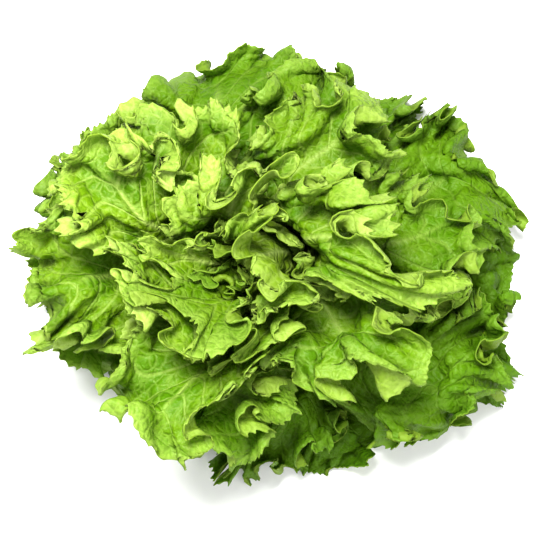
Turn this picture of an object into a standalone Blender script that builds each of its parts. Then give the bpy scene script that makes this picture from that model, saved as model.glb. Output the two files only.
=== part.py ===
"""Batavia lettuce: a loose head of broad, ruffled leaves on a short cut stem.

Metres, +Z up. The origin is the centre of the stem's cut face, where the head stands.

The head is a family of nested bowls round the stem, numbered from 0 at the heart to 1 at the
outermost leaf. Every leaf lies in a bowl of its own, in the golden-angle spiral that the plant
grows in. Its ruffles may rise and fall only half-way to the leaves above and below it, so that
leaves are pressed flat where they are packed and ruffle freely where they come out.
"""

import math

import bmesh
import bpy
import numpy as np

MM = 0.001

# The plant
LEAVES = 32
HEART_LEAVES = 8  # the innermost of them, small and close
GOLDEN_ANGLE = math.radians(137.508)
FIRST_AZIMUTH = math.radians(14)
OUTERMOST_BOWL = 1.0
CROWDING = 0.61  # below 1, more of the leaves are outer ones
SEED = 4875

# The bowls, read at these numbers. A bowl's profile starts at the root and rises by an angle
# that changes with the square of the way along it.
BOWL = np.array([-0.25, 0.0, 0.15, 0.35, 0.6, 0.8, 1.0, 1.2])
ROOT_RISE = np.radians([98, 93, 88, 80, 62, 36, 14, 4])
TIP_RISE = np.radians([128, 108, 89, 52, -26, -66, -90, -100])
REACH = np.array([28, 32, 67, 115, 142, 148, 150, 150]) * MM
ROOT_HEIGHT = np.array([56, 52, 47, 38, 26, 16, 7, 2]) * MM
ROOT_RADIUS = np.array([2.7, 4.5, 7.7, 10.8, 13.5, 15.1, 16.2, 16.7]) * MM
TABLE_GAP, TABLE_SOFTNESS = 0.4 * MM, 11 * MM  # bowls bend to lie along the table

# A leaf, by the bowl that it lies in
LEAF_BOWL = np.array([0, 0.15, 0.35, 0.6, 1.0])
HALF_WIDTH = np.array([23, 41, 67, 76, 83]) * MM
ROOT_HALF_WIDTH = np.array([2.5, 3.5, 5, 6, 6.5]) * MM
FOLD_HEIGHT = np.array([5, 12, 18, 20, 18]) * MM
FOLDS = np.array([4, 6, 8, 9, 9])  # waves round the whole margin
RIB_THICKNESS = np.array([1.5, 2, 2.7, 3.2, 3.6]) * MM
SWELL = 0.32  # height of the swells across the blade, as a share of the fold height
SWELL_WAVES = 5.7 * MM, 7.5 * MM  # their wavelengths over a full turn in radians
BLADE_THICKNESS = 0.8 * MM
FAN_CENTRE = 0.56  # the point that a blade spreads from, as a share of its length
MOST_WRAP = math.radians(118)  # how far round the heart half a leaf can clasp
BROADEST = 1.42  # brings the margin formula's widest place to the half width

# Room between leaves
CLEARANCE = 2.1 * MM
FREE_ROOM = 0.5  # bowls that a ruffle may cross where no leaf lies
USED_ROOM = 0.72  # share of its room that a ruffle takes
COVER_FULL, COVER_NONE = 4.5 * MM, 21.5 * MM  # a leaf's cover fades over this strip outside it

# The whole head is bent out of round
LEAN, LEAN_MORE = 0.06, 2.0  # slope to -X at the foot, and its growth per metre of height
LEAN_TO_FRONT = 0.71  # share of that lean which it also has to -Y
STRAY, STRAY_WAVE = 8 * MM, 108 * MM  # slow sideways wander
STRAY_PHASES = -0.5, 2.3
SPREAD = 1.04  # mean reach, against the round bowls
SPREAD_WAVES = (  # waves round the head: how many, how deep, and the azimuth of a crest
    (1, 0.12, math.radians(74)),
    (2, 0.03, math.radians(164)),
    (3, 0.05, math.radians(112)),
    (5, 0.03, math.radians(42)),
)

# The stem
STEM_SIDES = 28

LEAF_GRID, HEART_GRID = 11, 9

TABLE_STEPS = 117, 105  # bowls by places along the profile
BOWL_STEPS = np.linspace(BOWL[0], BOWL[-1], TABLE_STEPS[0])
WAY_STEPS = np.linspace(0.0, 1.3, TABLE_STEPS[1])


def smoothstep(low, high, value):
    """0 below low, 1 above high, and a smooth rise between; low may be the larger."""
    share = np.clip((value - low) / (high - low), 0, 1)
    return share * share * (3 - 2 * share)


def bowl_profiles():
    """Radius and height of every bowl's profile, as tables of bowl by way along it."""
    def column(values):
        return np.interp(BOWL_STEPS, BOWL, values)[:, None]

    rise = column(ROOT_RISE) + (column(TIP_RISE) - column(ROOT_RISE)) * WAY_STEPS**2
    middle = 0.5 * (rise[:, 1:] + rise[:, :-1])
    step = column(REACH) * (WAY_STEPS[1] - WAY_STEPS[0])
    start = np.zeros((TABLE_STEPS[0], 1))
    radius = column(ROOT_RADIUS) + np.hstack([start, np.cumsum(np.cos(middle) * step, 1)])
    height = column(ROOT_HEIGHT) + np.hstack([start, np.cumsum(np.sin(middle) * step, 1)])
    for table in (radius, height):
        for _ in range(6):  # rounds the corners between the bowls that are given
            table[1:-1] = 0.25 * table[:-2] + 0.5 * table[1:-1] + 0.25 * table[2:]
    low = TABLE_GAP + TABLE_SOFTNESS
    squeezed = TABLE_SOFTNESS * np.exp(np.minimum(height - low, 0) / TABLE_SOFTNESS)
    return radius, np.where(height < low, TABLE_GAP + squeezed, height)


RADII, HEIGHTS = bowl_profiles()


def read_table(table, bowl, way):
    """The table's value between its steps."""
    row = (bowl - BOWL_STEPS[0]) / (BOWL_STEPS[1] - BOWL_STEPS[0])
    row = np.clip(row, 0, TABLE_STEPS[0] - 1.001)
    column = np.clip(way / WAY_STEPS[1], 0, TABLE_STEPS[1] - 1.001)
    i, j = row.astype(int), column.astype(int)
    u, v = row - i, column - j
    near = table[i, j] * (1 - v) + table[i, j + 1] * v
    far = table[i + 1, j] * (1 - v) + table[i + 1, j + 1] * v
    return near * (1 - u) + far * u


def on_bowl(bowl, way):
    """Radius and height of points on bowls, at shares of the way along their profiles."""
    bowl, way = np.broadcast_arrays(np.asarray(bowl, float), np.asarray(way, float))
    return read_table(RADII, bowl, way), read_table(HEIGHTS, bowl, way)


def bowl_spacing(bowl, way):
    """Metres from one bowl to the next whole number, at a place."""
    inner = np.array(on_bowl(bowl - 0.02, way))
    outer = np.array(on_bowl(bowl + 0.02, way))
    return np.hypot(*(outer - inner)) / 0.04


class Leaf:
    """One leaf: where it grows, its flat outline and its ruffles."""

    def __init__(self, rank):
        draw = np.random.default_rng([SEED, rank])
        share = rank / (LEAVES - 1)
        self.bowl = OUTERMOST_BOWL * (1 - share) ** CROWDING
        self.phases = draw.uniform(0, 2 * math.pi, 16)
        self.leans = draw.uniform(-1, 1, 4)
        self.azimuth = FIRST_AZIMUTH + rank * GOLDEN_ANGLE + draw.uniform(-0.33, 0.33)
        self.bowl_reach = float(np.interp(self.bowl, BOWL, REACH))
        shorter = 1 - 0.07 * math.sin(self.azimuth) ** 2
        self.length = self.bowl_reach * draw.uniform(0.82, 1.13) * shorter
        self.half_width = self.by_bowl(HALF_WIDTH)
        self.root_half = self.by_bowl(ROOT_HALF_WIDTH)
        self.fold_height = self.by_bowl(FOLD_HEIGHT)
        self.folds = self.by_bowl(FOLDS) + draw.uniform(-0.5, 0.5)
        self.half_width *= draw.uniform(0.78, 1.12)
        self.rib = self.by_bowl(RIB_THICKNESS)
        self.centre = FAN_CENTRE * self.length
        x, y = self.margin(np.linspace(-1, 1, 181))
        self.margin_turn = np.unwrap(np.arctan2(x, y - self.centre))
        self.margin_radius = np.hypot(x, y - self.centre)

    def by_bowl(self, values):
        """A leaf dimension read at this leaf's bowl."""
        return float(np.interp(self.bowl, LEAF_BOWL, values))

    def margin(self, place):
        """Flat outline, from -1 at the root round the tip at 0 to 1 at the root again."""
        turn = 0.5 * math.pi * np.abs(place)
        across = self.half_width * BROADEST * np.sin(turn) ** 0.85
        across *= np.clip(np.cos(turn), 0, 1) ** 1.7
        foot = np.clip(6 * np.abs(np.sin(math.pi * place)), 0, 1)
        across += self.root_half * foot * smoothstep(0.45, 0.9, np.abs(place))
        blade = smoothstep(0.9, 0.6, np.abs(place))
        lobes = 0.05 * np.sin(9 * place + self.phases[0])
        lobes += 0.04 * np.sin(17 * place + self.phases[1])
        along = self.length * np.cos(turn) ** 2 - self.centre
        grow = 1 + lobes * blade
        return np.sign(place) * across * grow, self.centre + along * grow

    def outside(self, azimuth, way):
        """How far places are outside this leaf's outline, negative within it."""
        turn = (azimuth - self.azimuth + math.pi) % (2 * math.pi) - math.pi
        radius, _ = on_bowl(self.bowl, way)
        share = np.clip(turn / MOST_WRAP, -0.985, 0.985)
        x = radius * MOST_WRAP * np.arctanh(share)
        y = way * self.bowl_reach - self.centre
        edge = np.interp(np.arctan2(x, y), self.margin_turn, self.margin_radius)
        return np.hypot(x, y) - edge


def disc_places(grid):
    """Turn (-1 to 1) and rim share of a square grid's points when it is bent to a disc."""
    line = np.linspace(-1, 1, grid + 1)
    a, b = (values.ravel() for values in np.meshgrid(line, line))
    rim = np.maximum(np.abs(a), np.abs(b))
    over = np.abs(b) >= np.abs(a)
    eighth = math.pi / 4
    ends = eighth * a / np.where(b == 0, 1, b) + np.where(b > 0, 0, math.pi)
    sides = np.where(a > 0, 2, -2) * eighth - eighth * b / np.where(a == 0, 1, a)
    turn = np.where(over, ends, sides)
    turn = (turn + math.pi) % (2 * math.pi) - math.pi
    return turn / math.pi, rim


def room_for(leaf, leaves, azimuth, way):
    """How far this leaf may lie above and below its own bowl, in metres, at places."""
    above = np.full(azimuth.shape, FREE_ROOM)
    below = np.full(azimuth.shape, FREE_ROOM)
    for other in leaves:
        if other is leaf:
            continue
        cover = smoothstep(COVER_NONE, COVER_FULL, other.outside(azimuth, way))
        room = 0.5 * abs(other.bowl - leaf.bowl) + FREE_ROOM * (1 - cover)
        side = above if other.bowl < leaf.bowl else below
        np.minimum(side, room, out=side)
    spacing = bowl_spacing(leaf.bowl, way)
    _, height = on_bowl(leaf.bowl, way)
    above = above * spacing - CLEARANCE
    below = np.minimum(below * spacing - CLEARANCE, height - CLEARANCE)
    least = 0.3 * MM
    return np.maximum(above, least), np.maximum(below, least)


def kept_in_room(leaf, wave, strength, above, below):
    """The wave's lift, drawn to the emptier side and pressed into the room."""
    emptier = (above - below) / (above + below) * smoothstep(1.0, 0.75, leaf.bowl)
    wave = wave + 0.8 * leaf.fold_height * strength * emptier
    room = USED_ROOM * np.where(wave > 0, above, below)
    return room * np.tanh(wave / room)


def blade_points(leaf, leaves, grid):
    """The blade's middle surface, and each point's flat place in the leaf."""
    place, rim = disc_places(grid)
    phases = leaf.phases
    away_from_root = smoothstep(0.97, 0.60, np.abs(place))
    strength = rim**1.8 * away_from_root
    phase = math.pi * leaf.folds * place + phases[2]
    phase += 1.2 * np.sin(2.3 * place + phases[3]) + 0.8 * np.sin(5.1 * place + phases[4])
    phase += 0.9 * (1 - rim) * np.sin(4 * place + phases[5])
    height = leaf.fold_height * (0.75 + 0.25 * np.sin(4.7 * place + phases[6]))
    wave = height * strength * np.sin(phase)
    overhang = -0.16 / leaf.folds * strength * np.sin(2 * phase)
    pull = 0.10 * strength * np.sin(phase) ** 2
    edge_x, edge_y = leaf.margin(place + overhang)
    spread = rim**0.8 * (1 - pull)
    x = edge_x * spread
    y = leaf.centre + (edge_y - leaf.centre) * spread

    u, v = x / leaf.half_width, y / leaf.length
    lean = leaf.leans * 5.4 * MM
    wave += lean[0] * u * v + lean[1] * u * u * v + 8 * MM * u * u * v
    wave += lean[2] * np.sin(2.6 * u + phases[15]) * v * v
    swell = np.sin((0.8 * x + 0.6 * y) / SWELL_WAVES[0] + phases[7])
    swell += np.sin((0.95 * y - 0.5 * x) / SWELL_WAVES[1] + phases[8])
    wave += SWELL * leaf.fold_height * smoothstep(0.05, 0.4, v) * swell

    way = y / leaf.bowl_reach
    radius, _ = on_bowl(leaf.bowl, way)
    azimuth = leaf.azimuth + MOST_WRAP * np.tanh(x / (radius * MOST_WRAP))
    above, below = room_for(leaf, leaves, azimuth, way)
    lift = kept_in_room(leaf, wave, strength, above, below)
    radius, z = on_bowl(leaf.bowl - lift / bowl_spacing(leaf.bowl, way), way)
    points = np.stack([radius * np.cos(azimuth), radius * np.sin(azimuth), z], 1)
    return points, x, y


def bent(points):
    """Points moved sideways with the head's lean, wander and uneven spread."""
    x, y, z = points.T
    azimuth = np.arctan2(y, x)
    waves = (depth * np.cos(count * (azimuth - crest)) for count, depth, crest in SPREAD_WAVES)
    spread = 1 + (SPREAD + sum(waves) - 1) * smoothstep(18 * MM, 100 * MM, np.hypot(x, y))
    turn = 2 * math.pi / STRAY_WAVE
    stray = STRAY * smoothstep(5 * MM, 54 * MM, z + 0.5 * np.hypot(x, y))
    lean = LEAN * z + LEAN_MORE * z**2
    moved_x = x * spread - lean + stray * np.sin(turn * (y + 0.6 * z) + STRAY_PHASES[0])
    moved_y = y * spread - LEAN_TO_FRONT * lean
    moved_y += stray * np.sin(turn * (x - 0.5 * z) + STRAY_PHASES[1])
    return np.stack([moved_x, moved_y, z], 1)


def material(name, colour, roughness):
    """A Principled material of one colour, given in linear light."""
    made = bpy.data.materials.new(name)
    made.use_nodes = True
    shader = made.node_tree.nodes["Principled BSDF"]
    shader.inputs["Base Color"].default_value = (*colour, 1)
    shader.inputs["Roughness"].default_value = roughness
    return made


def build_leaf(name, leaf, leaves, grid, finish, collection):
    """A leaf as an open waved blade with Solidify, thickest along the rib at its root."""
    mesh = bpy.data.meshes.new(name)
    shell = bmesh.new()
    bmesh.ops.create_grid(shell, x_segments=grid, y_segments=grid, size=1)
    points, x, y = blade_points(leaf, leaves, grid)
    points = bent(points)
    shell.verts.ensure_lookup_table()
    for vert, point in zip(shell.verts, points):
        vert.co = point
    bmesh.ops.triangulate(shell, faces=shell.faces[:], quad_method="SHORT_EDGE")
    shell.to_mesh(mesh)
    shell.free()
    mesh.materials.append(finish)
    mesh.shade_smooth()
    obj = bpy.data.objects.new(name, mesh)
    collection.objects.link(obj)

    from_tip = np.clip(1 - y / leaf.length, 0, 1)
    rib = np.exp(-((x / (0.35 * leaf.root_half)) ** 2)) * from_tip**1.5
    thickness = BLADE_THICKNESS + (leaf.rib - BLADE_THICKNESS) * rib
    group = obj.vertex_groups.new(name="thickness")
    for index, share in enumerate(thickness / leaf.rib):
        group.add([index], float(share), "REPLACE")
    solid = obj.modifiers.new("Blade", "SOLIDIFY")
    solid.thickness = leaf.rib
    solid.vertex_group = group.name
    solid.offset = 0
    return obj


def build_stem(finish, collection):
    """The stump: a flat cut at the foot, then a taper to the growing tip."""
    heights = np.array([0, 0, 1.1, 7, 18, 29, 40, 48, 52, 54]) * MM
    radii = np.array([0, 13.1, 14, 13.7, 12.2, 10, 7.2, 4.3, 2.3, 0]) * MM
    mesh = bpy.data.meshes.new("stem")
    turned = bmesh.new()
    rim = [turned.verts.new((r, 0, z)) for r, z in zip(radii, heights)]
    edges = [turned.edges.new(pair) for pair in zip(rim, rim[1:])]
    bmesh.ops.spin(
        turned,
        geom=rim + edges,
        cent=(0, 0, 0),
        axis=(0, 0, 1),
        angle=2 * math.pi,
        steps=STEM_SIDES,
        use_merge=True,
    )
    bmesh.ops.remove_doubles(turned, verts=turned.verts[:], dist=0.01 * MM)
    bmesh.ops.recalc_face_normals(turned, faces=turned.faces[:])
    for vert, point in zip(turned.verts, bent(np.array([vert.co for vert in turned.verts]))):
        vert.co = point
    turned.to_mesh(mesh)
    turned.free()
    mesh.materials.append(finish)
    mesh.shade_smooth()
    mesh.set_sharp_from_angle(angle=math.radians(40))
    collection.objects.link(bpy.data.objects.new("stem", mesh))


def main():
    for old in list(bpy.data.objects):
        bpy.data.objects.remove(old, do_unlink=True)
    collection = bpy.data.collections.new("batavia_lettuce")
    bpy.context.scene.collection.children.link(collection)
    green = material("leaf_green", (0.24, 0.46, 0.04), 0.45)
    pale = material("heart_green", (0.34, 0.52, 0.06), 0.45)
    cut = material("stem_flesh", (0.62, 0.66, 0.36), 0.6)

    build_stem(cut, collection)
    leaves = [Leaf(rank) for rank in range(LEAVES)]
    outer = LEAVES - HEART_LEAVES
    for rank, leaf in enumerate(leaves):
        if rank < outer:
            build_leaf(f"leaf_{rank + 1:02d}", leaf, leaves, LEAF_GRID, green, collection)
        else:
            name = f"heart_leaf_{rank - outer + 1:02d}"
            build_leaf(name, leaf, leaves, HEART_GRID, pale, collection)


main()
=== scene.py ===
"""Looks of the batavia lettuce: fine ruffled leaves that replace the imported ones, and its studio.

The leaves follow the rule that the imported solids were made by. The head is a family of nested
bowls round the stem, numbered from 0 at the heart to 1 at the outermost leaf. Each leaf lies in a
bowl of its own and may rise and fall half-way to its neighbours. Here the same leaves also get
their frills, toothed margins, blisters between the veins, ribs and colours.
"""

import logging
import math
from dataclasses import dataclass, field
from enum import Enum

import bmesh
import bpy
import numpy as np
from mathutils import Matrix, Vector


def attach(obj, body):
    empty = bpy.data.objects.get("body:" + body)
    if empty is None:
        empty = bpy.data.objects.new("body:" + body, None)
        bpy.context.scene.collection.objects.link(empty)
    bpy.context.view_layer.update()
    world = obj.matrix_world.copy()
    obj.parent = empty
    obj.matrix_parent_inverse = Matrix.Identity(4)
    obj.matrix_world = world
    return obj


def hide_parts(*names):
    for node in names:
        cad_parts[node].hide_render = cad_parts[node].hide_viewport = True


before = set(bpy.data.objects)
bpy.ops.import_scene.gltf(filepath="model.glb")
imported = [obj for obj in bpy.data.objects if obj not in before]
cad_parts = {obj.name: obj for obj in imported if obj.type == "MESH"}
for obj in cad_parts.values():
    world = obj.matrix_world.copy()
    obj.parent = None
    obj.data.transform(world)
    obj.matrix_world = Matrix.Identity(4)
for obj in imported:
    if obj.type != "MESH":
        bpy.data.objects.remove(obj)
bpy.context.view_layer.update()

LOG = logging.getLogger("lettuce")
Array = np.ndarray
Row = tuple[float, ...]
Span = tuple[float, float]
# A slow wave round a leaf: its size, how fast it goes round and the number of its phase
Wave = tuple[float, float, int]
Waves = tuple[Wave, ...]
Tree = bpy.types.NodeTree
Socket = bpy.types.NodeSocket
# A millimetre in metres, the UV units in a metre of leaf, and a guard against division by zero
MM = 0.001
UV_PER_METRE = 10
TINY = 1e-12


def smoothstep(low: float, high: float, value: Array) -> Array:
    """Rise smoothly from 0 at low to 1 at high, which may be the smaller of the two."""
    share = np.clip((value - low) / (high - low), 0, 1)
    return share * share * (3 - 2 * share)


def wander(waves: Waves, place: Array, phases: Array) -> Array:
    """Add up slow waves round a leaf.

    Args:
        waves: Size, speed and phase number of each wave.
        place: Turn round the leaf, -1 to 1.
        phases: The leaf's random phases.

    Returns:
        The sum at each place.
    """
    return sum(size * np.sin(speed * place + phases[number]) for size, speed, number in waves)


def linear(hex_colour: str) -> tuple[float, float, float, float]:
    """Turn a hex sRGB colour into Blender's linear RGBA.

    Args:
        hex_colour: Six hex digits, such as "8fc43a".

    Returns:
        Linear red, green and blue, and an alpha of 1.
    """
    parts = [int(hex_colour[i : i + 2], 16) / 255 for i in (0, 2, 4)]
    red, green, blue = (
        part / 12.92 if part <= 0.04045 else ((part + 0.055) / 1.055) ** 2.4 for part in parts
    )
    return red, green, blue, 1.0


def add_object(name: str, data: bpy.types.ID) -> bpy.types.Object:
    """Add an object to the scene.

    Args:
        name: The object's name.
        data: Its mesh, light or camera.

    Returns:
        The object.
    """
    added = bpy.data.objects.new(name, data)
    bpy.context.scene.collection.objects.link(added)
    return added


def add_node(
    tree: Tree,
    kind: str,
    inputs: dict[str | int, object] | None = None,
    **settings: object,
) -> bpy.types.Node:
    """Add a shader node.

    Args:
        tree: The material's or world's node tree.
        kind: The node's type name.
        inputs: Values or output sockets by the input's name or number.
        **settings: Properties of the node itself.

    Returns:
        The new node.
    """
    node = tree.nodes.new(kind)
    for name, value in settings.items():
        setattr(node, name, value)
    for name, value in (inputs or {}).items():
        if isinstance(value, Socket):
            tree.links.new(value, node.inputs[name])
        else:
            node.inputs[name].default_value = value
    return node


def math_node(tree: Tree, operation: str, *values: object) -> Socket:
    """Add a Math node and give its output socket."""
    node = add_node(tree, "ShaderNodeMath", dict(enumerate(values)), operation=operation)
    return node.outputs[0]


def mix_colours(tree: Tree, factor: object, first: object, second: object) -> Socket:
    """Add a colour Mix node and give its output socket."""
    inputs = {0: factor, 6: first, 7: second}
    return add_node(tree, "ShaderNodeMix", inputs, data_type="RGBA", clamp_factor=True).outputs[2]


def ramp(tree: Tree, value: Socket, low: float, high: float) -> Socket:
    """Map a value smoothly from 0 at low to 1 at high."""
    inputs = {"Value": value, "From Min": low, "From Max": high}
    node = add_node(tree, "ShaderNodeMapRange", inputs, interpolation_type="SMOOTHSTEP")
    return node.outputs["Result"]


class LeafKind(Enum):
    """Which part of the head a leaf belongs to: node name, record slot and grid cells."""

    OUTER = ("leaf", "leaf", 58)
    HEART = ("heart_leaf", "heart_leaf", 40)

    @property
    def prefix(self) -> str:
        """First part of the CAD node's name."""
        return self.value[0]

    @property
    def slot(self) -> str:
        """Material slot in the record."""
        return self.value[1]

    @property
    def grid(self) -> int:
        """Cells along each side of the leaf's grid."""
        return self.value[2]


@dataclass(frozen=True)
class Bowls:
    """The nested bowls, given at a few bowl numbers in degrees and millimetres.

    A bowl's profile starts at its root's radius and height, turns from the root's rise to the
    tip's, and is as long as its reach. Near the table it flattens out.
    """

    number: Row = (-0.25, 0.0, 0.15, 0.35, 0.6, 0.8, 1.0, 1.2)
    root_rise: Row = (98, 93, 88, 80, 62, 36, 14, 4)
    tip_rise: Row = (128, 108, 89, 52, -26, -66, -90, -100)
    reach: Row = (28, 32, 67, 115, 142, 148, 150, 150)
    root_height: Row = (56, 52, 47, 38, 26, 16, 7, 2)
    root_radius: Row = (2.7, 4.5, 7.7, 10.8, 13.5, 15.1, 16.2, 16.7)
    table_gap: float = 0.4 * MM
    table_softness: float = 11 * MM
    rows: int = 117
    columns: int = 105
    longest_way: float = 1.3
    smoothing: int = 6
    probe: float = 0.02
    # Keeps every reading short of the last row and column, so that there is a next one
    short_of_last: float = 0.001

    def __post_init__(self) -> None:
        """Work out radius and height, in metres, by bowl and way along the profile."""
        steps = np.linspace(self.number[0], self.number[-1], self.rows)
        ways = np.linspace(0, self.longest_way, self.columns)

        def column(values: Row, unit: float) -> Array:
            """Give a value for each row, in metres or radians."""
            return np.interp(steps, self.number, values)[:, None] * unit

        rise = column(self.root_rise, math.radians(1))
        rise = rise + (column(self.tip_rise, math.radians(1)) - rise) * ways**2
        middle = 0.5 * (rise[:, 1:] + rise[:, :-1])
        step = column(self.reach, MM) * ways[1]
        start = np.zeros((self.rows, 1))
        out = np.hstack([start, np.cumsum(np.cos(middle) * step, 1)])
        up = np.hstack([start, np.cumsum(np.sin(middle) * step, 1)])
        radius, height = column(self.root_radius, MM) + out, column(self.root_height, MM) + up
        for table in (radius, height):
            for _ in range(self.smoothing):
                table[1:-1] = 0.25 * table[:-2] + 0.5 * table[1:-1] + 0.25 * table[2:]
        low = self.table_gap + self.table_softness
        squeezed = self.table_softness * np.exp(np.minimum(height - low, 0) / self.table_softness)
        height = np.where(height < low, self.table_gap + squeezed, height)
        object.__setattr__(self, "_radii", radius)
        object.__setattr__(self, "_heights", height)

    def at(self, bowl: Array | float, way: Array) -> tuple[Array, Array]:
        """Read the bowls between their table steps.

        Args:
            bowl: Bowl numbers.
            way: Shares of the way along the profile, 0 at the root.

        Returns:
            Radius from the axis and height.
        """
        bowl, way = np.broadcast_arrays(np.asarray(bowl, float), np.asarray(way, float))
        first, last = self.number[0], self.number[-1]
        top_row, top_column = self.rows - 1, self.columns - 1
        row = (bowl - first) / (last - first) * top_row
        row = np.clip(row, 0, top_row - self.short_of_last)
        column = np.clip(way / self.longest_way * top_column, 0, top_column - self.short_of_last)
        i, j = row.astype(int), column.astype(int)
        u, v = row - i, column - j
        weights = ((1 - u) * (1 - v), (1 - u) * v, u * (1 - v), u * v)
        corners = ((i, j), (i, j + 1), (i + 1, j), (i + 1, j + 1))
        radius = sum(w * self._radii[c] for w, c in zip(weights, corners))
        height = sum(w * self._heights[c] for w, c in zip(weights, corners))
        return radius, height

    def spacing(self, bowl: float, way: Array) -> Array:
        """Measure how far apart the bowls are.

        Args:
            bowl: Bowl number.
            way: Shares of the way along the profile.

        Returns:
            Metres between bowls one whole number apart.
        """
        inner = np.array(self.at(bowl - self.probe, way))
        outer = np.array(self.at(bowl + self.probe, way))
        return np.hypot(*(outer - inner)) / (2 * self.probe)


@dataclass(frozen=True)
class Bend:
    """How the whole head is bent out of round: its lean, wander and uneven spread.

    Each spread wave is a count round the head, a depth and the azimuth of its crest.
    """

    lean: float = 0.06
    lean_more: float = 2.0
    lean_to_front: float = 0.71
    stray: float = 8 * MM
    stray_wave: float = 108 * MM
    stray_phases: Span = (-0.5, 2.3)
    stray_slants: Span = (0.6, -0.5)
    stray_outward: float = 0.5
    stray_from: Span = (5 * MM, 54 * MM)
    spread: float = 1.04
    spread_from: Span = (18 * MM, 100 * MM)
    spread_waves: tuple[tuple[int, float, float], ...] = (
        (1, 0.12, math.radians(74)),
        (2, 0.03, math.radians(164)),
        (3, 0.05, math.radians(112)),
        (5, 0.03, math.radians(42)),
    )

    def apply(self, points: Array) -> Array:
        """Move points sideways with the head.

        Args:
            points: Rows of x, y and z in metres.

        Returns:
            The moved points.
        """
        x, y, z = points.T
        azimuth = np.arctan2(y, x)
        out = np.hypot(x, y)
        spread = self.spread
        for count, depth_and_shade, crest in self.spread_waves:
            spread = spread + depth_and_shade * np.cos(count * (azimuth - crest))
        spread = 1 + (spread - 1) * smoothstep(*self.spread_from, out)
        turn = 2 * math.pi / self.stray_wave
        stray = self.stray * smoothstep(*self.stray_from, z + self.stray_outward * out)
        slants, phases = self.stray_slants, self.stray_phases
        lean = self.lean * z + self.lean_more * z**2
        moved_x = x * spread - lean + stray * np.sin(turn * (y + slants[0] * z) + phases[0])
        moved_y = y * spread - self.lean_to_front * lean
        moved_y = moved_y + stray * np.sin(turn * (x + slants[1] * z) + phases[1])
        return np.stack([moved_x, moved_y, z], 1)


@dataclass(frozen=True)
class Growth:
    """Where leaves grow, how large they are, their flat outlines, their depth of green and their
    painted shade.
    """

    # The spiral, from the outermost leaf in
    leaves: int = 32
    heart_leaves: int = 8
    golden_angle: float = math.radians(137.508)
    first_azimuth: float = math.radians(14)
    outermost: float = 1.0
    crowding: float = 0.61
    seed: int = 4875
    # Sizes of the leaves at the bowls in the first row
    bowl: Row = (0, 0.15, 0.35, 0.6, 1.0)
    half_width: Row = (23 * MM, 41 * MM, 67 * MM, 76 * MM, 83 * MM)
    root_half: Row = (2.5 * MM, 3.5 * MM, 5 * MM, 6 * MM, 6.5 * MM)
    fold_height: Row = (5 * MM, 12 * MM, 18 * MM, 20 * MM, 18 * MM)
    folds: Row = (4, 6, 8, 9, 9)
    rib: Row = (1.5 * MM, 2 * MM, 2.7 * MM, 3.2 * MM, 3.6 * MM)
    # How far chance takes a leaf from the rule
    azimuth_stray: float = 0.33
    folds_stray: float = 0.5
    length_shares: Span = (0.82, 1.13)
    width_shares: Span = (0.78, 1.12)
    # The head is a little shallower than it is wide
    shallower: float = 0.07
    # The flat outline: a fan with soft lobes on a short foot
    fan_centre: float = 0.56
    broadest: float = 1.42
    tip_bluntness: float = 0.85
    foot_taper: float = 1.7
    foot_steepness: float = 6
    foot_from: Span = (0.45, 0.9)
    lobed_from: Span = (0.9, 0.6)
    lobes: Waves = ((0.05, 9, 0), (0.04, 17, 1))
    outline_stops: int = 181
    # The most that a leaf wraps round the head, and the share past which places count alike
    most_wrap: float = math.radians(118)
    wrap_limit: float = 0.985
    # Old leaves are deeper green. Painted shade darkens the heart leaves and the side of the head
    # away from the light
    old_from: Span = (0.4, 0.95)
    old_depth: float = 0.62
    heart_shade_from: Span = (0.32, 0.1)
    heart_painted_shade: float = 0.6
    side_painted_shade: float = 0.3
    sunny_side: float = math.radians(130)


@dataclass(frozen=True)
class Room:
    """The room that a leaf keeps to, between the leaves above and below it.

    A leaf has half the gap to a neighbour that covers it, and more beyond that neighbour's
    margin, up to `free`. Both count in bowls. Its folds fill the share `used` of what it has.
    """

    clearance: float = 0.8 * MM
    free: float = 0.5
    used: float = 0.72
    cover_full: float = 4.5 * MM
    cover_none: float = 21.5 * MM
    least: float = 0.3 * MM
    to_emptier: float = 0.8
    to_emptier_from: Span = (1.0, 0.75)


@dataclass(frozen=True)
class Folding:
    """How a blade folds in its bowl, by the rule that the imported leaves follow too."""

    # The large folds, which fade at the root and towards the middle
    free_from: Span = (0.97, 0.60)
    fade: float = 1.8
    wander: Waves = ((1.2, 2.3, 3), (0.8, 5.1, 4))
    inner_wander: Waves = ((0.9, 4, 5),)
    usual_height: float = 0.75
    height_waves: Waves = ((0.25, 4.7, 6),)
    overhang: float = 0.16
    gather: float = 0.10
    crowding: float = 0.8
    # The lie of the whole blade
    twist: float = 5.4 * MM
    twist_turn: float = 2.6
    cupping: float = 8 * MM
    # Two trains of swells, each with its direction, length and phase number
    swell: float = 0.32
    swell_from: Span = (0.05, 0.4)
    swell_waves: tuple[tuple[float, float, float, int], ...] = (
        (0.8, 0.6, 5.7 * MM, 7),
        (-0.5, 0.95, 7.5 * MM, 8),
    )


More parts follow.
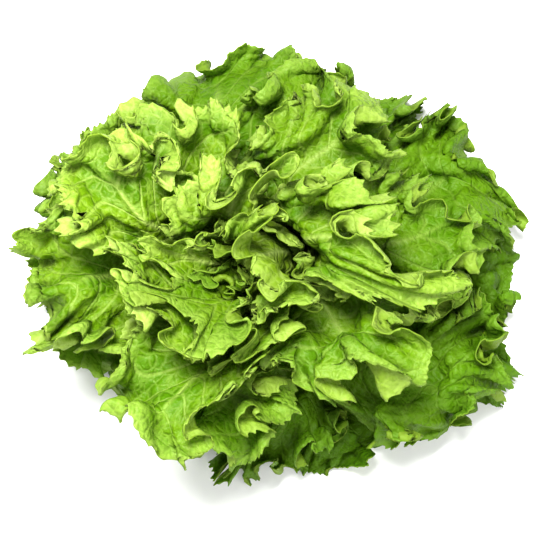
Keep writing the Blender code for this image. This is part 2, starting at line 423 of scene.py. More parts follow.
@dataclass(frozen=True)
class Detail:
    """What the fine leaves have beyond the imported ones."""

    # The blade and its grid, which is finer in the bands at the margin
    blade: float = 0.7 * MM
    floor: float = 0.8 * MM
    margin_bands: Row = (0.83, 0.97)
    probe: float = 0.001
    # Frills: waves along the margin between the large folds
    frills_per_fold: float = 2.6
    frill_share: float = 0.45
    frill_from: Span = (0.25, 1.0)
    frill_fade: float = 1.5
    frill_wander: Waves = ((1.7, 6.1, 8), (1.9, 3.1, 9))
    frill_inner_wander: Waves = ((1, 7, 14),)
    frill_usual: float = 0.75
    frill_height_waves: Waves = ((0.25, 8.3, 10),)
    frill_overhang: float = 0.17
    frill_least: float = 0.1
    margin_share: float = 1.7
    # Crinkles: the smallest waves, at the very margin
    crinkle: float = 1.2 * MM
    crinkles_per_fold: float = 5.5
    crinkle_fade: int = 7
    crinkle_wander: Waves = ((1.7, 9, 12), (1.1, 23, 13))
    # Teeth
    teeth: float = 0.06
    tooth_pitch: float = 4 * MM
    tooth_fade: int = 24
    tooth_wander: Waves = ((1.4, 11, 12),)
    tooth_usual: float = 0.7
    tooth_waves: Waves = ((0.3, 7.3, 14),)
    walk_stops: int = 1201
    # Side veins, which leave the rib forwards
    vein_pitch: float = 13 * MM
    vein_slope: float = 0.85
    vein_sway: float = 4 * MM
    vein_sway_wave: float = 9 * MM
    # Blisters between the side veins
    blister: float = 2.0 * MM
    blister_pitch: float = 10 * MM
    blister_slope: float = 0.3
    blister_sway: float = 2 * MM
    blister_sway_wave: float = 6 * MM
    blister_steepness: float = 0.7
    blister_row_shift: float = 2.4
    blister_from: Span = (0.02, 0.35)
    blister_loss: float = 0.6
    blister_full_width: float = 60 * MM
    # The rib, thick at the root, and its paler stripe
    rib_share: float = 0.35
    rib_fade: float = 1.5
    stripe: float = 1.7 * MM
    stripe_widths: Span = (0.25, 1.1)
    stripe_from: Span = (0.02, 0.3)


class Leaf:
    """One leaf: where it grows, its flat outline and its random phases."""

    def __init__(self, rank: int, growth: Growth, bowls: Bowls) -> None:
        """Grow a leaf.

        Args:
            rank: 0 for the outermost leaf.
            growth: The plant's rule.
            bowls: The nested bowls.
        """
        draw = np.random.default_rng([growth.seed, rank])
        share = rank / (growth.leaves - 1)
        self.growth = growth
        self.bowls = bowls
        self.rank = rank
        self.bowl = growth.outermost * (1 - share) ** growth.crowding
        self.phases = draw.uniform(0, 2 * math.pi, 16)
        self.leans = draw.uniform(-1, 1, 4)
        self.azimuth = growth.first_azimuth + rank * growth.golden_angle
        self.azimuth += draw.uniform(-growth.azimuth_stray, growth.azimuth_stray)
        self.bowl_reach = float(np.interp(self.bowl, bowls.number, bowls.reach)) * MM
        shorter = 1 - growth.shallower * math.sin(self.azimuth) ** 2
        self.length = self.bowl_reach * draw.uniform(*growth.length_shares) * shorter
        self.half_width = self.by_bowl(growth.half_width)
        self.root_half = self.by_bowl(growth.root_half)
        self.fold_height = self.by_bowl(growth.fold_height)
        self.folds = self.by_bowl(growth.folds)
        self.folds += draw.uniform(-growth.folds_stray, growth.folds_stray)
        self.half_width *= draw.uniform(*growth.width_shares)
        self.rib = self.by_bowl(growth.rib)
        self.centre = growth.fan_centre * self.length
        x, y = self.margin(np.linspace(-1, 1, growth.outline_stops))
        self.margin_turn = np.unwrap(np.arctan2(x, y - self.centre))
        self.margin_radius = np.hypot(x, y - self.centre)

    @property
    def kind(self) -> LeafKind:
        """Heart leaf or outer leaf."""
        outer = self.growth.leaves - self.growth.heart_leaves
        return LeafKind.OUTER if self.rank < outer else LeafKind.HEART

    @property
    def node(self) -> str:
        """Name of the CAD node that this leaf dresses."""
        outer = self.growth.leaves - self.growth.heart_leaves
        number = self.rank if self.kind is LeafKind.OUTER else self.rank - outer
        return f"{self.kind.prefix}_{number + 1:02d}"

    @property
    def depth_and_painted_shade(self) -> float:
        """How far a leaf is darkened to the deep green, 0 to 1: older leaves are deeper green, and
        painted shade darkens the heart leaves and the side away from the light.
        """
        growth, bowl = self.growth, np.array(self.bowl)
        old = growth.old_depth * smoothstep(*growth.old_from, bowl)
        # Painted shade: the heart leaves are darkened as if shaded in the hollow
        heart_shade = growth.heart_painted_shade * smoothstep(*growth.heart_shade_from, bowl)
        # Painted shade: leaves on the side turned away from the light are darkened
        side_shade = 0.5 - 0.5 * math.cos(self.azimuth - growth.sunny_side)
        return float(min(max(old, heart_shade) + growth.side_painted_shade * side_shade, 1))

    def by_bowl(self, values: Row) -> float:
        """Read a size at this leaf's bowl."""
        return float(np.interp(self.bowl, self.growth.bowl, values))

    def margin(self, place: Array) -> tuple[Array, Array]:
        """Flat outline of the leaf.

        Args:
            place: -1 at the root, 0 at the tip and 1 at the root again.

        Returns:
            Across and along coordinates in metres.
        """
        growth, from_tip = self.growth, np.abs(place)
        turn = 0.5 * math.pi * from_tip
        across = self.half_width * growth.broadest * np.sin(turn) ** growth.tip_bluntness
        across = across * np.clip(np.cos(turn), 0, 1) ** growth.foot_taper
        foot = np.clip(growth.foot_steepness * np.abs(np.sin(math.pi * place)), 0, 1)
        across = across + self.root_half * foot * smoothstep(*growth.foot_from, from_tip)
        lobed = smoothstep(*growth.lobed_from, from_tip)
        grow = 1 + wander(growth.lobes, place, self.phases) * lobed
        along = self.length * np.cos(turn) ** 2 - self.centre
        return np.sign(place) * across * grow, self.centre + along * grow

    def outside(self, azimuth: Array, way: Array) -> Array:
        """Measure how far places of the head are outside this leaf.

        Args:
            azimuth: Their turn round the head, in radians.
            way: Their shares of the way along the leaf's bowl.

        Returns:
            Metres outside the outline, negative within it.
        """
        turn = (azimuth - self.azimuth + math.pi) % (2 * math.pi) - math.pi
        radius, _ = self.bowls.at(self.bowl, way)
        wrap = self.growth.most_wrap
        limit = self.growth.wrap_limit
        x = radius * wrap * np.arctanh(np.clip(turn / wrap, -limit, limit))
        y = way * self.bowl_reach - self.centre
        edge = np.interp(np.arctan2(x, y), self.margin_turn, self.margin_radius)
        return np.hypot(x, y) - edge


@dataclass
class Folded:
    """A leaf folded in its bowl: points, flat places in the leaf, and room left round it."""

    points: Array
    x: Array
    y: Array
    spare: Array


@dataclass
class Blade:
    """A leaf's finished surface: its points and what the finish reads at each."""

    points: Array
    flat: Array
    rim: Array
    vein: Array
    rib: Array
    thickness: Array


class Head:
    """All the leaves, and the shaping of each among its neighbours."""

    def __init__(self) -> None:
        """Grow every leaf."""
        self.growth = Growth()
        self.bowls = Bowls()
        self.bend = Bend()
        self.room = Room()
        self.folding = Folding()
        self.detail = Detail()
        self.leaves = [Leaf(i, self.growth, self.bowls) for i in range(self.growth.leaves)]

    def room_for(self, leaf: Leaf, azimuth: Array, way: Array) -> tuple[Array, Array]:
        """Find how far a leaf may lie above and below its own bowl.

        Args:
            leaf: The leaf.
            azimuth: Turn of its places round the head, in radians.
            way: Shares of the way along its bowl.

        Returns:
            Room above and room below, in metres.
        """
        room = self.room
        above = np.full(azimuth.shape, room.free)
        below = np.full(azimuth.shape, room.free)
        for other in self.leaves:
            if other is leaf:
                continue
            outside = other.outside(azimuth, way)
            cover = smoothstep(room.cover_none, room.cover_full, outside)
            space = 0.5 * abs(other.bowl - leaf.bowl) + room.free * (1 - cover)
            side = above if other.bowl < leaf.bowl else below
            np.minimum(side, space, out=side)
        spacing = self.bowls.spacing(leaf.bowl, way)
        _, height = self.bowls.at(leaf.bowl, way)
        above = above * spacing - room.clearance
        below = np.minimum(below * spacing - room.clearance, height - room.clearance)
        return np.maximum(above, room.least), np.maximum(below, room.least)

    def kept_in_room(
        self, leaf: Leaf, wave: Array, strength: Array, above: Array, below: Array
    ) -> Array:
        """Draw a wave to the emptier side and press it into the room.

        Args:
            leaf: The leaf.
            wave: Its folds' height off the bowl.
            strength: How freely it folds, 0 to 1.
            above: Room above the bowl.
            below: Room below it.

        Returns:
            The lift off the bowl.
        """
        drawn = smoothstep(*self.room.to_emptier_from, np.array(leaf.bowl))
        emptier = (above - below) / (above + below) * drawn
        wave = wave + self.room.to_emptier * leaf.fold_height * strength * emptier
        room = self.room.used * np.where(wave > 0, above, below)
        return room * np.tanh(wave / room)

    @staticmethod
    def disc_places(a: Array, b: Array) -> tuple[Array, Array]:
        """Bend a square's points to a disc.

        Args:
            a: Places across the square, -1 to 1.
            b: Places along it, 1 at the tip's side.

        Returns:
            Turn round the disc, from -1 to 1, and share of the way out to its rim.
        """
        eighth = math.pi / 4
        ends = eighth * a / np.where(b == 0, 1, b) + np.where(b > 0, 0, math.pi)
        sides = np.where(a > 0, 2, -2) * eighth - eighth * b / np.where(a == 0, 1, a)
        turn = np.where(np.abs(b) >= np.abs(a), ends, sides)
        turn = (turn + math.pi) % (2 * math.pi) - math.pi
        return turn / math.pi, np.maximum(np.abs(a), np.abs(b))

    def freedom(self, place: Array) -> Array:
        """How freely the margin waves: 1 round the blade, 0 at the root."""
        return smoothstep(*self.folding.free_from, np.abs(place))

    def folded(self, leaf: Leaf, place: Array, rim: Array, toothed: bool = True) -> Folded:
        """Fold one leaf in its bowl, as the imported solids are, and cut its teeth.

        Args:
            leaf: The leaf.
            place: Turn round the leaf, -1 to 1.
            rim: Share of the way out to the margin.
            toothed: Whether the margin has its teeth.

        Returns:
            The folded surface at those places.
        """
        folding, phases = self.folding, leaf.phases
        strength = rim**folding.fade * self.freedom(place)
        phase = math.pi * leaf.folds * place + phases[2] + wander(folding.wander, place, phases)
        phase += (1 - rim) * wander(folding.inner_wander, place, phases)
        height = folding.usual_height + wander(folding.height_waves, place, phases)
        wave = leaf.fold_height * height * strength * np.sin(phase)
        overhang = -folding.overhang / leaf.folds * strength * np.sin(2 * phase)
        spread = rim**folding.crowding * (1 - folding.gather * strength * np.sin(phase) ** 2)
        if toothed:
            spread = spread * (1 + self.teeth(leaf, place, rim))
        edge_x, edge_y = leaf.margin(place + overhang)
        x = edge_x * spread
        y = leaf.centre + (edge_y - leaf.centre) * spread

        way = y / leaf.bowl_reach
        radius, _ = self.bowls.at(leaf.bowl, way)
        wrap = self.growth.most_wrap
        azimuth = leaf.azimuth + wrap * np.tanh(x / (radius * wrap))
        above, below = self.room_for(leaf, azimuth, way)
        lift = self.kept_in_room(leaf, wave + self.lie(leaf, x, y), strength, above, below)
        radius, z = self.bowls.at(leaf.bowl - lift / self.bowls.spacing(leaf.bowl, way), way)
        points = np.stack([radius * np.cos(azimuth), radius * np.sin(azimuth), z], 1)
        spare = np.clip(np.minimum(above - lift, below + lift), 0, None)
        return Folded(points, x, y, spare)

    def lie(self, leaf: Leaf, x: Array, y: Array) -> Array:
        """Work out a blade's twist, cupping and swells.

        Args:
            leaf: The leaf.
            x: Flat places across it, in metres.
            y: Flat places along it.

        Returns:
            Heights in metres.
        """
        folding, phases = self.folding, leaf.phases
        u, v = x / leaf.half_width, y / leaf.length
        twist = leaf.leans * folding.twist
        height = twist[0] * u * v + twist[1] * u * u * v + folding.cupping * u * u * v
        height += twist[2] * np.sin(folding.twist_turn * u + phases[15]) * v * v
        swell = sum(
            np.sin((across * x + along * y) / length + phases[number])
            for across, along, length, number in folding.swell_waves
        )
        return height + folding.swell * leaf.fold_height * smoothstep(*folding.swell_from, v) * swell

    def teeth(self, leaf: Leaf, place: Array, rim: Array) -> Array:
        """Cut the teeth, evenly along the folded margin.

        Args:
            leaf: The leaf.
            place: Turn round the leaf, -1 to 1.
            rim: Share of the way out to the margin.

        Returns:
            How far the teeth stretch the blade, as a share of its way out.
        """
        detail, phases = self.detail, leaf.phases
        phase = math.pi * self.margin_walk(leaf, place) / detail.tooth_pitch
        phase += wander(detail.tooth_wander, place, phases)
        size = detail.tooth_usual + wander(detail.tooth_waves, place, phases)
        tooth = (1 - np.abs(np.sin(phase))) * size
        return detail.teeth * rim**detail.tooth_fade * self.freedom(place) * tooth

    def margin_walk(self, leaf: Leaf, place: Array) -> Array:
        """Walk along the folded margin.

        Args:
            leaf: The leaf.
            place: Turn round the leaf, -1 to 1.

        Returns:
            Metres from the root to each place.
        """
        stops = np.linspace(-1, 1, self.detail.walk_stops)
        points = self.folded(leaf, stops, np.ones_like(stops), False).points
        steps = np.linalg.norm(np.diff(points, axis=0), axis=1)
        return np.interp(place, stops, np.concatenate([[0], np.cumsum(steps)]))

    def directions(self, leaf: Leaf, a: Array, b: Array) -> tuple[Array, Array]:
        """Find the directions up from the blade and along its margin.

        The teeth are left out, because the directions would flutter with them.

        Args:
            leaf: The leaf.
            a: Places across the leaf's square grid, -1 to 1.
            b: Places along it.

        Returns:
            Unit vectors up and along.
        """
        probe = self.detail.probe
        step_a = np.where(a > 0, -probe, probe)
        step_b = np.where(b > 0, -probe, probe)
        smooth = self.folded(leaf, *self.disc_places(a, b), False).points
        by_a = self.folded(leaf, *self.disc_places(a + step_a, b), False).points - smooth
        by_b = self.folded(leaf, *self.disc_places(a, b + step_b), False).points - smooth
        by_a /= step_a[:, None]
        by_b /= step_b[:, None]
        up = np.cross(by_b, by_a)
        ends = (np.abs(b) >= np.abs(a))[:, None]
        along = np.where(ends, by_a * np.sign(b)[:, None], -by_b * np.sign(a)[:, None])
        for vectors in (up, along):
            vectors /= np.linalg.norm(vectors, axis=1, keepdims=True) + TINY
        return up, along

    def frills(self, leaf: Leaf, place: Array, rim: Array, spare: Array) -> tuple[Array, Array]:
        """Wave the margin in the room that the large folds leave.

        Args:
            leaf: The leaf.
            place: Turn round the leaf, -1 to 1.
            rim: Share of the way out to the margin.
            spare: Room left round the folds, in metres.

        Returns:
            How far each place sinks, and how far it slips back along the margin.
        """
        detail, phases = self.detail, leaf.phases
        count = leaf.folds * detail.frills_per_fold
        phase = math.pi * count * place + phases[7] + wander(detail.frill_wander, place, phases)
        phase += (1 - rim) * wander(detail.frill_inner_wander, place, phases)
        height = detail.frill_usual + wander(detail.frill_height_waves, place, phases)
        height = detail.frill_share * leaf.fold_height * height
        length = detail.margin_share * (leaf.length + leaf.half_width) / count
        near_rim = smoothstep(*detail.frill_from, rim) ** detail.frill_fade * self.freedom(place)
        share = near_rim * np.clip(spare / height, detail.frill_least, 1)
        slip = detail.frill_overhang * length * np.sin(2 * phase)
        return share * height * np.sin(phase), share * slip

    def crinkles(self, leaf: Leaf, place: Array, rim: Array) -> Array:
        """Work out the smallest waves, at the very margin.

        Args:
            leaf: The leaf.
            place: Turn round the leaf, -1 to 1.
            rim: Share of the way out to the margin.

        Returns:
            Heights in metres.
        """
        detail = self.detail
        phase = math.pi * leaf.folds * detail.crinkles_per_fold * place + leaf.phases[11]
        phase += wander(detail.crinkle_wander, place, leaf.phases)
        fade = rim**detail.crinkle_fade * self.freedom(place)
        return detail.crinkle * fade * np.sin(phase)

    def veins(self, leaf: Leaf, x: Array, y: Array) -> Array:
        """Count the side veins out from the root.

        Args:
            leaf: The leaf.
            x: Flat places across it, in metres.
            y: Flat places along it.

        Returns:
            The count at each place, a whole number on each vein.
        """
        detail = self.detail
        sway = detail.vein_sway * np.sin(x / detail.vein_sway_wave + leaf.phases[1])
        return (y - detail.vein_slope * np.abs(x) + sway) / detail.vein_pitch

    def blisters(self, leaf: Leaf, folded: Folded, rim: Array, vein: Array) -> Array:
        """Raise the blade's pillows between its side veins.

        Args:
            leaf: The leaf.
            folded: Its folded surface.
            rim: Share of the way out to the margin.
            vein: Count of side veins.

        Returns:
            Heights in metres.
        """
        detail = self.detail
        sway = detail.blister_sway * np.sin(folded.y / detail.blister_sway_wave)
        across = np.abs(folded.x) + detail.blister_slope * folded.y + sway
        row = detail.blister_row_shift * np.floor(vein)
        pillow = 0.5 + 0.5 * np.sin(2 * math.pi * across / detail.blister_pitch + row)
        pillow = pillow * np.abs(np.sin(math.pi * vein)) ** detail.blister_steepness
        pillow = pillow * smoothstep(*detail.blister_from, folded.y / leaf.length)
        pillow = pillow * (1 - detail.blister_loss * rim**6)
        return detail.blister * pillow * min(1, leaf.half_width / detail.blister_full_width)

    def ribs(self, leaf: Leaf, folded: Folded) -> tuple[Array, Array]:
        """Work out the rib.

        Args:
            leaf: The leaf.
            folded: Its folded surface.

        Returns:
            Thickness of the blade with its rib, and strength of the rib's pale stripe.
        """
        detail, x = self.detail, folded.x
        from_tip = np.clip(1 - folded.y / leaf.length, 0, 1)
        rib = np.exp(-((x / (detail.rib_share * leaf.root_half)) ** 2))
        thickness = detail.blade + (leaf.rib - detail.blade) * rib * from_tip**detail.rib_fade
        least, more = detail.stripe_widths
        width = (least + more * from_tip) * detail.stripe
        return thickness, np.exp(-((x / width) ** 2)) * smoothstep(*detail.stripe_from, from_tip)

    def shape(self, leaf: Leaf, a: Array, b: Array) -> Blade:
        """Shape one leaf: its folds and teeth, then frills, crinkles and blisters.

        Args:
            leaf: The leaf.
            a: Places across the leaf's square grid, -1 to 1.
            b: Places along it.

        Returns:
            The leaf's middle surface.
        """
        place, rim = self.disc_places(a, b)
        folded = self.folded(leaf, place, rim)
        up, along = self.directions(leaf, a, b)
        sink, slip = self.frills(leaf, place, rim, folded.spare)
        vein = self.veins(leaf, folded.x, folded.y)
        rise = self.blisters(leaf, folded, rim, vein) + self.crinkles(leaf, place, rim) - sink
        points = folded.points + up * rise[:, None] - along * slip[:, None]
        points[:, 2] = np.maximum(points[:, 2], self.detail.floor)
        thickness, stripe = self.ribs(leaf, folded)
        flat = np.stack([folded.x, folded.y], 1)
        return Blade(self.bend.apply(points), flat, rim, vein, stripe, thickness)

    def build(self, leaf: Leaf, finishes: list[bpy.types.Material]) -> bpy.types.Object:
        """Build one leaf's piece and tie it to the frame.

        Args:
            leaf: The leaf.
            finishes: Materials of its underside, upper face and rim.

        Returns:
            The piece.
        """
        mesh = bpy.data.meshes.new(f"{leaf.node}_blade")
        shell = bmesh.new()
        grid = leaf.kind.grid
        bmesh.ops.create_grid(shell, x_segments=grid, y_segments=grid, size=1)
        for band in self.detail.margin_bands:
            outer = {vert for vert in shell.verts if max(abs(vert.co.x), abs(vert.co.y)) > band}
            split = [edge for edge in shell.edges if outer.issuperset(edge.verts)]
            bmesh.ops.subdivide_edges(shell, edges=split, cuts=1, use_grid_fill=True)
        shell.verts.index_update()
        square = np.array([vert.co for vert in shell.verts])
        blade = self.shape(leaf, square[:, 0], square[:, 1])
        for vert, point in zip(shell.verts, blade.points):
            vert.co = point
        bmesh.ops.triangulate(shell, faces=shell.faces[:], quad_method="SHORT_EDGE")
        uv_layer = shell.loops.layers.uv.new("flat")
        flat = blade.flat * UV_PER_METRE + 0.5
        for face in shell.faces:
            for loop in face.loops:
                loop[uv_layer].uv = flat[loop.vert.index]
        shell.to_mesh(mesh)
        shell.free()
        # Each leaf's darkening: deeper green with age, plus painted shade on the heart leaves and the
        # side away from the light
        depth_and_shade = np.full(blade.rim.shape, leaf.depth_and_painted_shade)
        named = {"margin": blade.rim, "vein": blade.vein, "rib": blade.rib, "depth_and_shade": depth_and_shade}
        for name, values in named.items():
            attribute = mesh.attributes.new(name, "FLOAT", "POINT")
            attribute.data.foreach_set("value", values.astype(np.float32))
        for finish in finishes:
            mesh.materials.append(finish)
        mesh.shade_smooth()
        piece = add_object(f"{leaf.node}_blade", mesh)

        group = piece.vertex_groups.new(name="thickness")
        for index, share in enumerate(blade.thickness / leaf.rib):
            group.add([index], float(share), "REPLACE")
        solid = piece.modifiers.new("Blade", "SOLIDIFY")
        solid.thickness = leaf.rib
        solid.vertex_group = group.name
        solid.offset = 0
        solid.material_offset = 1
        solid.material_offset_rim = 2
        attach(piece, "root")
        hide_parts(leaf.node)
        return piece


@dataclass(frozen=True)
class LeafFinish:
    """A living lettuce blade: waxy, veined and crumpled, letting half the light through."""

    name: str
    blade: str
    deep: str
    margin: str
    vein: str
    roughness: float = 0.48
    gloss: float = 0.3
    through: float = 0.5
    # Sizes of the patterns, from one cell or crest to the next
    mottle: float = 31 * MM
    net_cell: float = 6 * MM
    net_bend: float = 7 * MM
    net_sway: float = 5 * MM
    crumple: float = 3.3 * MM
    # Where each starts and is full, and how strongly it shows in the colour
    mottle_range: Span = (0.38, 0.66)
    margin_range: Span = (0.65, 1.1)
    side_width: Span = (0.02, 0.11)
    side_fade: Span = (0.55, 1.0)
    side_pale: float = 0.55
    net_width: Span = (0.0, 0.2)
    net_pale: float = 0.26
    # Painted shade: the hollows of the crumpled skin are darkened towards the deep green
    crumple_range: Span = (0.32, 0.6)
    crumple_painted_shade: float = 0.4
    # Relief, and the share of it that each pattern has
    bump: float = 0.68
    relief: float = 1.2 * MM
    net_slope: Span = (0.0, 0.3)
    net_height: float = 0.6
    side_groove: float = 0.5
    crumple_height: float = 1.6

    def material(self) -> bpy.types.Material:
        """Build the material.

        Returns:
            The material.
        """
        made = bpy.data.materials.new(self.name)
        made.use_nodes = True
        tree = made.node_tree
        tree.nodes.clear()
        margin, vein, rib, depth_and_shade = (
            add_node(tree, "ShaderNodeAttribute", attribute_name=name).outputs["Fac"]
            for name in ("margin", "vein", "rib", "depth_and_shade")
        )
        net, crumple = self.net(tree), self.crumples(tree)
        # Side veins run where the vein count is a whole number, and fade towards the margin
        offset = math_node(tree, "PINGPONG", vein, 0.5)
        side_line = math_node(tree, "SUBTRACT", 1.0, ramp(tree, offset, *self.side_width))
        fade = math_node(tree, "SUBTRACT", 1.0, ramp(tree, margin, *self.side_fade))
        side_pale = math_node(tree, "MULTIPLY", side_line, fade)
        side_pale = math_node(tree, "MULTIPLY", side_pale, self.side_pale)
        net_pale = math_node(tree, "SUBTRACT", 1.0, ramp(tree, net, *self.net_width))
        net_pale = math_node(tree, "MULTIPLY", net_pale, self.net_pale)
        lines = math_node(tree, "MAXIMUM", math_node(tree, "MAXIMUM", side_pale, rib), net_pale)
        # Painted shade: the crumples' hollows are darkened towards the deep green
        crumple_shade = math_node(tree, "SUBTRACT", 1.0, ramp(tree, crumple, *self.crumple_range))
        crumple_shade = math_node(tree, "MULTIPLY", crumple_shade, self.crumple_painted_shade)

        deep = linear(self.deep)
        at_margin = ramp(tree, margin, *self.margin_range)
        green = mix_colours(tree, self.mottling(tree), deep, linear(self.blade))
        green = mix_colours(tree, at_margin, green, linear(self.margin))
        # Painted shade in the crumples' hollows
        green = mix_colours(tree, crumple_shade, green, deep)
        green = mix_colours(tree, lines, green, linear(self.vein))
        # Darken by the leaf's depth: older leaves are deeper green, and painted shade darkens the
        # heart leaves and the side away from the light
        green = mix_colours(tree, depth_and_shade, green, deep)

        height = math_node(tree, "MULTIPLY", ramp(tree, net, *self.net_slope), self.net_height)
        groove = math_node(tree, "MULTIPLY", side_line, self.side_groove)
        height = math_node(tree, "SUBTRACT", height, groove)
        crests = math_node(tree, "MULTIPLY", crumple, self.crumple_height)
        height = math_node(tree, "ADD", height, crests)
        bump = add_node(
            tree, "ShaderNodeBump", {"Height": height, "Strength": self.bump, "Distance": self.relief}
        ).outputs["Normal"]
        skin = add_node(
            tree,
            "ShaderNodeBsdfPrincipled",
            {
                "Base Color": green,
                "Roughness": self.roughness,
                "Specular IOR Level": self.gloss,
                "Normal": bump,
            },
        )
        flesh = add_node(tree, "ShaderNodeBsdfTranslucent", {"Color": green, "Normal": bump})
        mixed = add_node(
            tree, "ShaderNodeMixShader", {0: self.through, 1: skin.outputs[0], 2: flesh.outputs[0]}
        )
        add_node(tree, "ShaderNodeOutputMaterial", {"Surface": mixed.outputs[0]})
        return made

    def mottling(self, tree: Tree) -> Socket:
        """Add soft mottling that follows the blade.

        Args:
            tree: The material's node tree.

        Returns:
            Its share of the lighter green.
        """
        flat = add_node(tree, "ShaderNodeUVMap", uv_map="flat").outputs["UV"]
        scale = 1 / (self.mottle * UV_PER_METRE)
        noise = add_node(tree, "ShaderNodeTexNoise", {"Vector": flat, "Scale": scale, "Detail": 3.0})
        return ramp(tree, noise.outputs["Fac"], *self.mottle_range)

    def net(self, tree: Tree) -> Socket:
        """Add the net of small veins.

        It stands in space, so that its cells keep their size where the blade is ruffled.

        Args:
            tree: The material's node tree.

        Returns:
            Distance from the nearest vein, in cells.
        """
        place = add_node(tree, "ShaderNodeTexCoord").outputs["Object"]
        bend = add_node(
            tree, "ShaderNodeTexNoise", {"Vector": place, "Scale": 1 / self.net_bend, "Detail": 1.0}
        ).outputs["Color"]
        sway = (self.net_sway, self.net_sway, self.net_sway)
        swayed = add_node(
            tree, "ShaderNodeVectorMath", {0: bend, 1: sway, 2: place}, operation="MULTIPLY_ADD"
        ).outputs["Vector"]
        cells = add_node(
            tree,
            "ShaderNodeTexVoronoi",
            {"Vector": swayed, "Scale": 1 / self.net_cell},
            feature="DISTANCE_TO_EDGE",
        )
        return cells.outputs["Distance"]

    def crumples(self, tree: Tree) -> Socket:
        """Add the crumpled skin between the veins.

        Args:
            tree: The material's node tree.

        Returns:
            Its height, 0 to 1.
        """
        place = add_node(tree, "ShaderNodeTexCoord").outputs["Object"]
        noise = add_node(
            tree, "ShaderNodeTexNoise", {"Vector": place, "Scale": 1 / self.crumple, "Detail": 2.0}
        )
        return noise.outputs["Fac"]


@dataclass(frozen=True)
class StemFinish:
    """Raw lettuce stem: pale, moist flesh with faint fibres."""

    flesh: str = "dfe3b4"
    core: str = "c3cf8a"
    roughness: float = 0.5
    fibre: float = 5.56 * MM
    fibre_range: Span = (0.35, 0.7)
    bump: float = 0.35
    relief: float = 0.5 * MM

    def material(self) -> bpy.types.Material:
        """Build the material.

        Returns:
            The material.
        """
        made = bpy.data.materials.new("stem_flesh")
        made.use_nodes = True
        tree = made.node_tree
        shader = tree.nodes["Principled BSDF"]
        place = add_node(tree, "ShaderNodeTexCoord").outputs["Object"]
        fibre = add_node(
            tree, "ShaderNodeTexNoise", {"Vector": place, "Scale": 1 / self.fibre, "Detail": 3.0}
        ).outputs["Fac"]
        pale = ramp(tree, fibre, *self.fibre_range)
        colour = mix_colours(tree, pale, linear(self.core), linear(self.flesh))
        bump = add_node(
            tree, "ShaderNodeBump", {"Height": fibre, "Strength": self.bump, "Distance": self.relief}
        )
        tree.links.new(colour, shader.inputs["Base Color"])
        tree.links.new(bump.outputs["Normal"], shader.inputs["Normal"])
        shader.inputs["Roughness"].default_value = self.roughness
        return made


@dataclass(frozen=True)
class PaperFinish:
    """Matt white backdrop paper, which shows nothing but soft shadows."""

    white: str = "f4f4f4"
    roughness: float = 0.9

    def material(self) -> bpy.types.Material:
        """Build the material.

        Returns:
            The material.
        """
        made = bpy.data.materials.new("white_paper")
        made.use_nodes = True
        shader = made.node_tree.nodes["Principled BSDF"]
        shader.inputs["Base Color"].default_value = linear(self.white)
        shader.inputs["Roughness"].default_value = self.roughness
        return made


@dataclass
class Stem:
    """The stump that the leaves grow from, cut flat at the foot.

    Its profile is given in millimetres, from the middle of the cut face to the growing tip.
    """

    bend: Bend
    sides: int = 72
    rows: int = 60
    radii: Row = (0, 13.0, 13.9, 13.7, 12.2, 10, 7.2, 4.3, 2.3, 0)
    heights: Row = (0, 0, 1.1, 7, 18, 29, 40, 48, 52, 54)
    scar_depth: float = 0.025
    scar_height: float = 1.1 * MM
    scars_above: float = 1.5 * MM
    crease: float = math.radians(50)
    weld: float = 0.01 * MM

    def turned(self) -> bmesh.types.BMesh:
        """Turn the stump from its profile.

        Returns:
            The stump, still straight and smooth.
        """
        spans = np.hypot(np.diff(self.radii), np.diff(self.heights))
        walked = np.concatenate([[0], np.cumsum(spans)])
        steps = np.unique(np.concatenate([walked, np.linspace(0, walked[-1], self.rows)]))
        radii = np.interp(steps, walked, self.radii) * MM
        heights = np.interp(steps, walked, self.heights) * MM
        stump = bmesh.new()
        profile = [stump.verts.new((r, 0, z)) for r, z in zip(radii, heights)]
        edges = [stump.edges.new(pair) for pair in zip(profile, profile[1:])]
        bmesh.ops.spin(
            stump,
            geom=profile + edges,
            cent=(0, 0, 0),
            axis=(0, 0, 1),
            angle=2 * math.pi,
            steps=self.sides,
            use_merge=True,
        )
        bmesh.ops.remove_doubles(stump, verts=stump.verts[:], dist=self.weld)
        bmesh.ops.recalc_face_normals(stump, faces=stump.faces[:])
        return stump

    def scarred(self, places: Array) -> Array:
        """Press shallow rings of leaf scars into the stump's side.

        Args:
            places: Rows of x, y and z in metres.

        Returns:
            The same rows, with the scars in them.
        """
        turn = np.arctan2(places[:, 1], places[:, 0])
        ring = np.sin(places[:, 2] / self.scar_height + 2 * turn) ** 2
        scar = np.where(places[:, 2] < self.scars_above, 1, 1 - self.scar_depth * ring)
        places[:, :2] *= scar[:, None]
        return places

    def build(self, finish: bpy.types.Material) -> bpy.types.Object:
        """Build the stump and tie it to the frame.

        Args:
            finish: Its material.

        Returns:
            The piece.
        """
        stump = self.turned()
        places = self.scarred(np.array([vert.co for vert in stump.verts]))
        for vert, place in zip(stump.verts, self.bend.apply(places)):
            vert.co = place
        mesh = bpy.data.meshes.new("stem_stump")
        stump.to_mesh(mesh)
        stump.free()
        mesh.materials.append(finish)
        mesh.shade_smooth()
        mesh.set_sharp_from_angle(angle=self.crease)
        piece = add_object("stem_stump", mesh)
        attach(piece, "root")
        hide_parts("stem")
        return piece


@dataclass(frozen=True)
class SoftLight:
    """One area light, aimed at the head."""

    name: str
    place: tuple[float, float, float]
    size: float
    power: float

    def build(self, target: Vector) -> None:
        """Add the light.

        Args:
            target: The point that it faces.
        """
        light = bpy.data.lights.new(self.name, "AREA")
        light.size = self.size
        light.energy = self.power
        lamp = add_object(self.name, light)
        lamp.location = self.place
        lamp.rotation_euler = (target - Vector(self.place)).to_track_quat("-Z", "Y").to_euler()


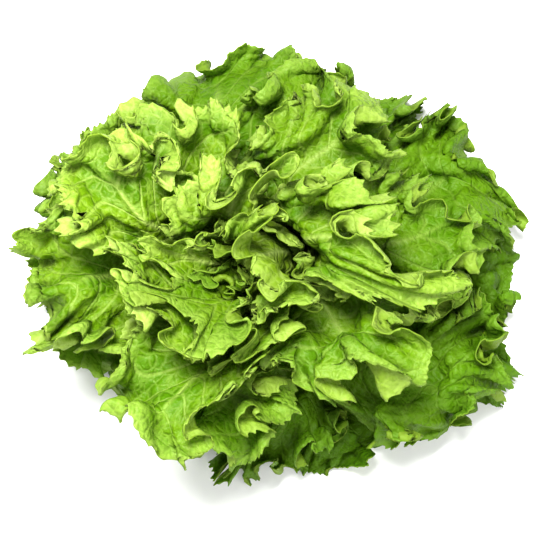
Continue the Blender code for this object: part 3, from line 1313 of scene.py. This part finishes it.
@dataclass
class Studio:
    """The pale floor, soft light and camera."""

    target: Vector = field(default_factory=lambda: Vector((-0.005, -0.005, 0.05)))
    distance: float = 0.759
    elevation: float = math.radians(72)
    lens: float = 85
    lights: tuple[SoftLight, ...] = (
        SoftLight("key", place=(-0.15, 0.2, 1.25), size=0.5, power=32),
        SoftLight("fill", place=(0.5, -0.8, 0.9), size=0.8, power=8),
    )
    floor_half: float = 3
    surround: float = 0.45
    exposure: float = 0.43
    gamma: float = 0.82

    def add_camera(self) -> None:
        """Add the camera at the photo's angle."""
        away = Vector((0, -math.cos(self.elevation), math.sin(self.elevation)))
        data = bpy.data.cameras.new("camera")
        data.lens = self.lens
        camera = add_object("camera", data)
        camera.location = self.target + away * self.distance
        camera.rotation_euler = (-away).to_track_quat("-Z", "Y").to_euler()
        bpy.context.scene.camera = camera

    def add_floor(self) -> None:
        """Add the floor that the head stands on."""
        mesh = bpy.data.meshes.new("floor")
        plane = bmesh.new()
        bmesh.ops.create_grid(plane, x_segments=1, y_segments=1, size=self.floor_half)
        plane.to_mesh(mesh)
        plane.free()
        mesh.materials.append(PaperFinish().material())
        add_object("floor", mesh)

    def add_light(self) -> None:
        """Add the lamps and the pale surround."""
        scene = bpy.context.scene
        for light in self.lights:
            light.build(self.target)
        world = bpy.data.worlds.new("surround")
        world.use_nodes = True
        grey = (self.surround, self.surround, self.surround, 1)
        world.node_tree.nodes["Background"].inputs["Color"].default_value = grey
        scene.world = world
        scene.view_settings.view_transform = "Standard"
        scene.view_settings.exposure = self.exposure
        scene.view_settings.gamma = self.gamma

    def build(self) -> None:
        """Build the whole studio."""
        self.add_camera()
        self.add_floor()
        self.add_light()


def main() -> None:
    """Build the studio, the stem and the leaves, and log their face counts."""
    logging.basicConfig(level=logging.INFO, format="%(message)s")
    Studio().build()
    head = Head()
    stem = Stem(head.bend).build(StemFinish().material())
    LOG.info("%s: %d faces", stem.name, len(stem.data.polygons))

    # Waxy upper face, deep between its pale veins and yellower at the margin
    upper = LeafFinish(
        "lettuce_blade", blade="94b41e", deep="66920c", margin="c3d871", vein="c7d97c"
    )
    # Paler, duller underside with a weaker net
    under = LeafFinish(
        "lettuce_underside", blade="9cba38", deep="82a122", margin="c5d979", vein="c8d987",
        roughness=0.5, bump=0.5,
    )
    # The blade's thin rim, nearly plain
    edge = LeafFinish(
        "lettuce_rim", blade="8fa93a", deep="83a035", margin="9ab23e", vein="a4b85a",
        roughness=0.5, bump=0.1,
    )
    finishes = [finish.material() for finish in (under, upper, edge)]
    for leaf in head.leaves:
        piece = head.build(leaf, finishes)
        LOG.info("%s: %d faces", piece.name, len(piece.data.polygons))


if __name__ == "__main__":
    main()
